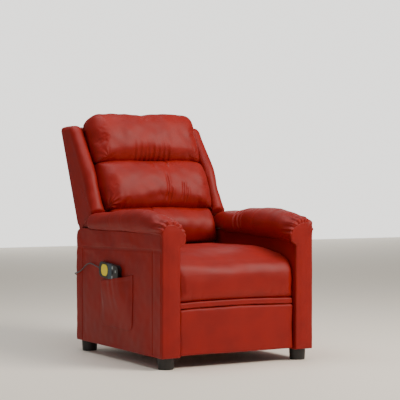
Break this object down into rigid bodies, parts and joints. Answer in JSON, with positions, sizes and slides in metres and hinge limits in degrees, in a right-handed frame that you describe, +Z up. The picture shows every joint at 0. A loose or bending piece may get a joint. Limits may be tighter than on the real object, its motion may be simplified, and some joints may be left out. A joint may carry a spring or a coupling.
{
  "type": "massage recliner chair",
  "caption": "Upholstered push-back massage recliner with padded arms, winged back in stitched rolls, folding footrest, side pocket, wired hand control and black feet.",
  "frame": {"origin": "on the floor under the middle of the chair's outline", "axes": "+Z up, the sitter faces -Y, +X is on the right seen from the front, across the arms"},
  "size_m": [0.7503, 1.021, 1.0519],
  "materials": {
    "faux_leather_red": "satin",
    "plywood": "matte",
    "foot_plastic": "satin",
    "zinc_steel": "satin",
    "spring_steel": "satin",
    "black_steel": "satin",
    "motor_steel": "satin",
    "weight_steel": "satin",
    "black_plastic": "satin",
    "circuit_board": "satin",
    "yellow_plastic": "gloss",
    "grey_plastic": "satin",
    "dark_plastic": "satin",
    "grey_lead": "matte"
  },
  "bodies": {
    "root": {"arm_cover_left": "faux_leather_red", "arm_cover_right": "faux_leather_red", "arm_frame_left": "plywood", "arm_frame_right": "plywood", "arm_pad_left": "faux_leather_red", "arm_pad_right": "faux_leather_red", "foot_front_left": "foot_plastic", "foot_front_right": "foot_plastic", "foot_rear_left": "foot_plastic", "foot_rear_right": "foot_plastic", "foot_studs": "zinc_steel", "base_rails": "plywood", "rear_panel": "faux_leather_red", "seat_side_rails": "plywood", "seat_cross_rails": "plywood", "seat_springs": "spring_steel", "spring_anchor_rail": "plywood", "front_band": "faux_leather_red", "seat_cushion": "faux_leather_red", "side_pocket": "faux_leather_red", "mechanism_plates": "black_steel", "mechanism_bolts": "zinc_steel", "back_hinge_brackets": "black_steel", "seat_motors": "motor_steel", "control_box": "black_plastic", "lead_gland": "black_plastic", "power_inlet": "black_plastic", "remote_front_shell": "black_plastic", "remote_back_shell": "black_plastic", "remote_board": "circuit_board", "remote_display": "yellow_plastic", "remote_strain_relief": "black_plastic", "remote_lead": "grey_lead"},
    "footrest_drive": {"drive_links": "black_steel", "torque_tube": "black_steel"},
    "footrest_idler": {"idler_links": "black_steel"},
    "footrest_carrier": {"carrier_links": "black_steel"},
    "footrest_control": {"control_links": "black_steel"},
    "footrest": {"footrest_board": "plywood", "footrest_pad": "faux_leather_red", "footrest_brackets": "black_steel"},
    "backrest": {"back_frame": "plywood", "back_springs": "spring_steel", "back_panel": "faux_leather_red", "lumbar_cushion": "faux_leather_red", "middle_cushion": "faux_leather_red", "head_cushion": "faux_leather_red", "wing_left": "faux_leather_red", "wing_right": "faux_leather_red", "back_hinge_arms": "black_steel", "back_motors": "motor_steel"},
    "seat_motor_weight_left_spin": {"seat_motor_weight_left": "weight_steel"},
    "back_motor_weight_left_spin": {"back_motor_weight_left": "weight_steel"},
    "seat_motor_weight_right_spin": {"seat_motor_weight_right": "weight_steel"},
    "back_motor_weight_right_spin": {"back_motor_weight_right": "weight_steel"},
    "button_power": {"remote_button_power": "grey_plastic"},
    "button_mode": {"remote_button_mode": "dark_plastic"},
    "button_heat": {"remote_button_heat": "grey_plastic"},
    "button_timer": {"remote_button_timer": "grey_plastic"}
  },
  "joints": [
    {"name": "backrest_recline", "type": "hinge", "parent": "root", "child": "backrest", "pos_m": [0, 0.15, 0.36], "axis": [-1, 0, 0], "range_deg": [0, 33]},
    {"name": "footrest_swing", "type": "hinge", "parent": "root", "child": "footrest_drive", "pos_m": [0, -0.3, 0.255], "axis": [-1, 0, 0], "range_deg": [0, 90]},
    {"name": "footrest_idler_turn", "type": "hinge", "parent": "root", "child": "footrest_idler", "pos_m": [0, -0.26239, 0.23029], "axis": [-1, 0, 0], "range_deg": [0, 90]},
    {"name": "footrest_carrier_turn", "type": "hinge", "parent": "footrest_drive", "child": "footrest_carrier", "pos_m": [0, -0.23844, 0.08586], "axis": [1, 0, 0], "range_deg": [0, 90]},
    {"name": "footrest_control_turn", "type": "hinge", "parent": "footrest_drive", "child": "footrest_control", "pos_m": [0, -0.22476, 0.04827], "axis": [1, 0, 0], "range_deg": [0, 90]},
    {"name": "footrest_panel_turn", "type": "hinge", "parent": "footrest_carrier", "child": "footrest", "pos_m": [0, -0.435, 0.215], "axis": [-1, 0, 0], "range_deg": [0, 90]},
    {"name": "seat_motor_left", "type": "hinge", "parent": "root", "child": "seat_motor_weight_left_spin", "pos_m": [-0.078, -0.18, 0.2663], "axis": [1, 0, 0], "continuous": true},
    {"name": "back_motor_left", "type": "hinge", "parent": "backrest", "child": "back_motor_weight_left_spin", "pos_m": [-0.078, 0.26262, 0.5186], "axis": [1, 0, 0], "continuous": true},
    {"name": "seat_motor_right", "type": "hinge", "parent": "root", "child": "seat_motor_weight_right_spin", "pos_m": [0.132, -0.18, 0.2663], "axis": [1, 0, 0], "continuous": true},
    {"name": "back_motor_right", "type": "hinge", "parent": "backrest", "child": "back_motor_weight_right_spin", "pos_m": [0.132, 0.26262, 0.5186], "axis": [1, 0, 0], "continuous": true},
    {"name": "button_power_press", "type": "slide", "parent": "root", "child": "button_power", "axis": [1, 0, 0], "range_m": [0, 0.0012], "stiffness_N_per_m": 900, "springref_m": -0.0006},
    {"name": "button_mode_press", "type": "slide", "parent": "root", "child": "button_mode", "axis": [1, 0, 0], "range_m": [0, 0.0012], "stiffness_N_per_m": 900, "springref_m": -0.0006},
    {"name": "button_heat_press", "type": "slide", "parent": "root", "child": "button_heat", "axis": [1, 0, 0], "range_m": [0, 0.0012], "stiffness_N_per_m": 900, "springref_m": -0.0006},
    {"name": "button_timer_press", "type": "slide", "parent": "root", "child": "button_timer", "axis": [1, 0, 0], "range_m": [0, 0.0012], "stiffness_N_per_m": 900, "springref_m": -0.0006}
  ],
  "couplings": [
    {"joint": "footrest_idler_turn", "follows": "footrest_swing", "ratio": 1},
    {"joint": "footrest_carrier_turn", "follows": "footrest_swing", "ratio": 1},
    {"joint": "footrest_control_turn", "follows": "footrest_swing", "ratio": 1},
    {"joint": "footrest_panel_turn", "follows": "footrest_swing", "ratio": 1}
  ]
}
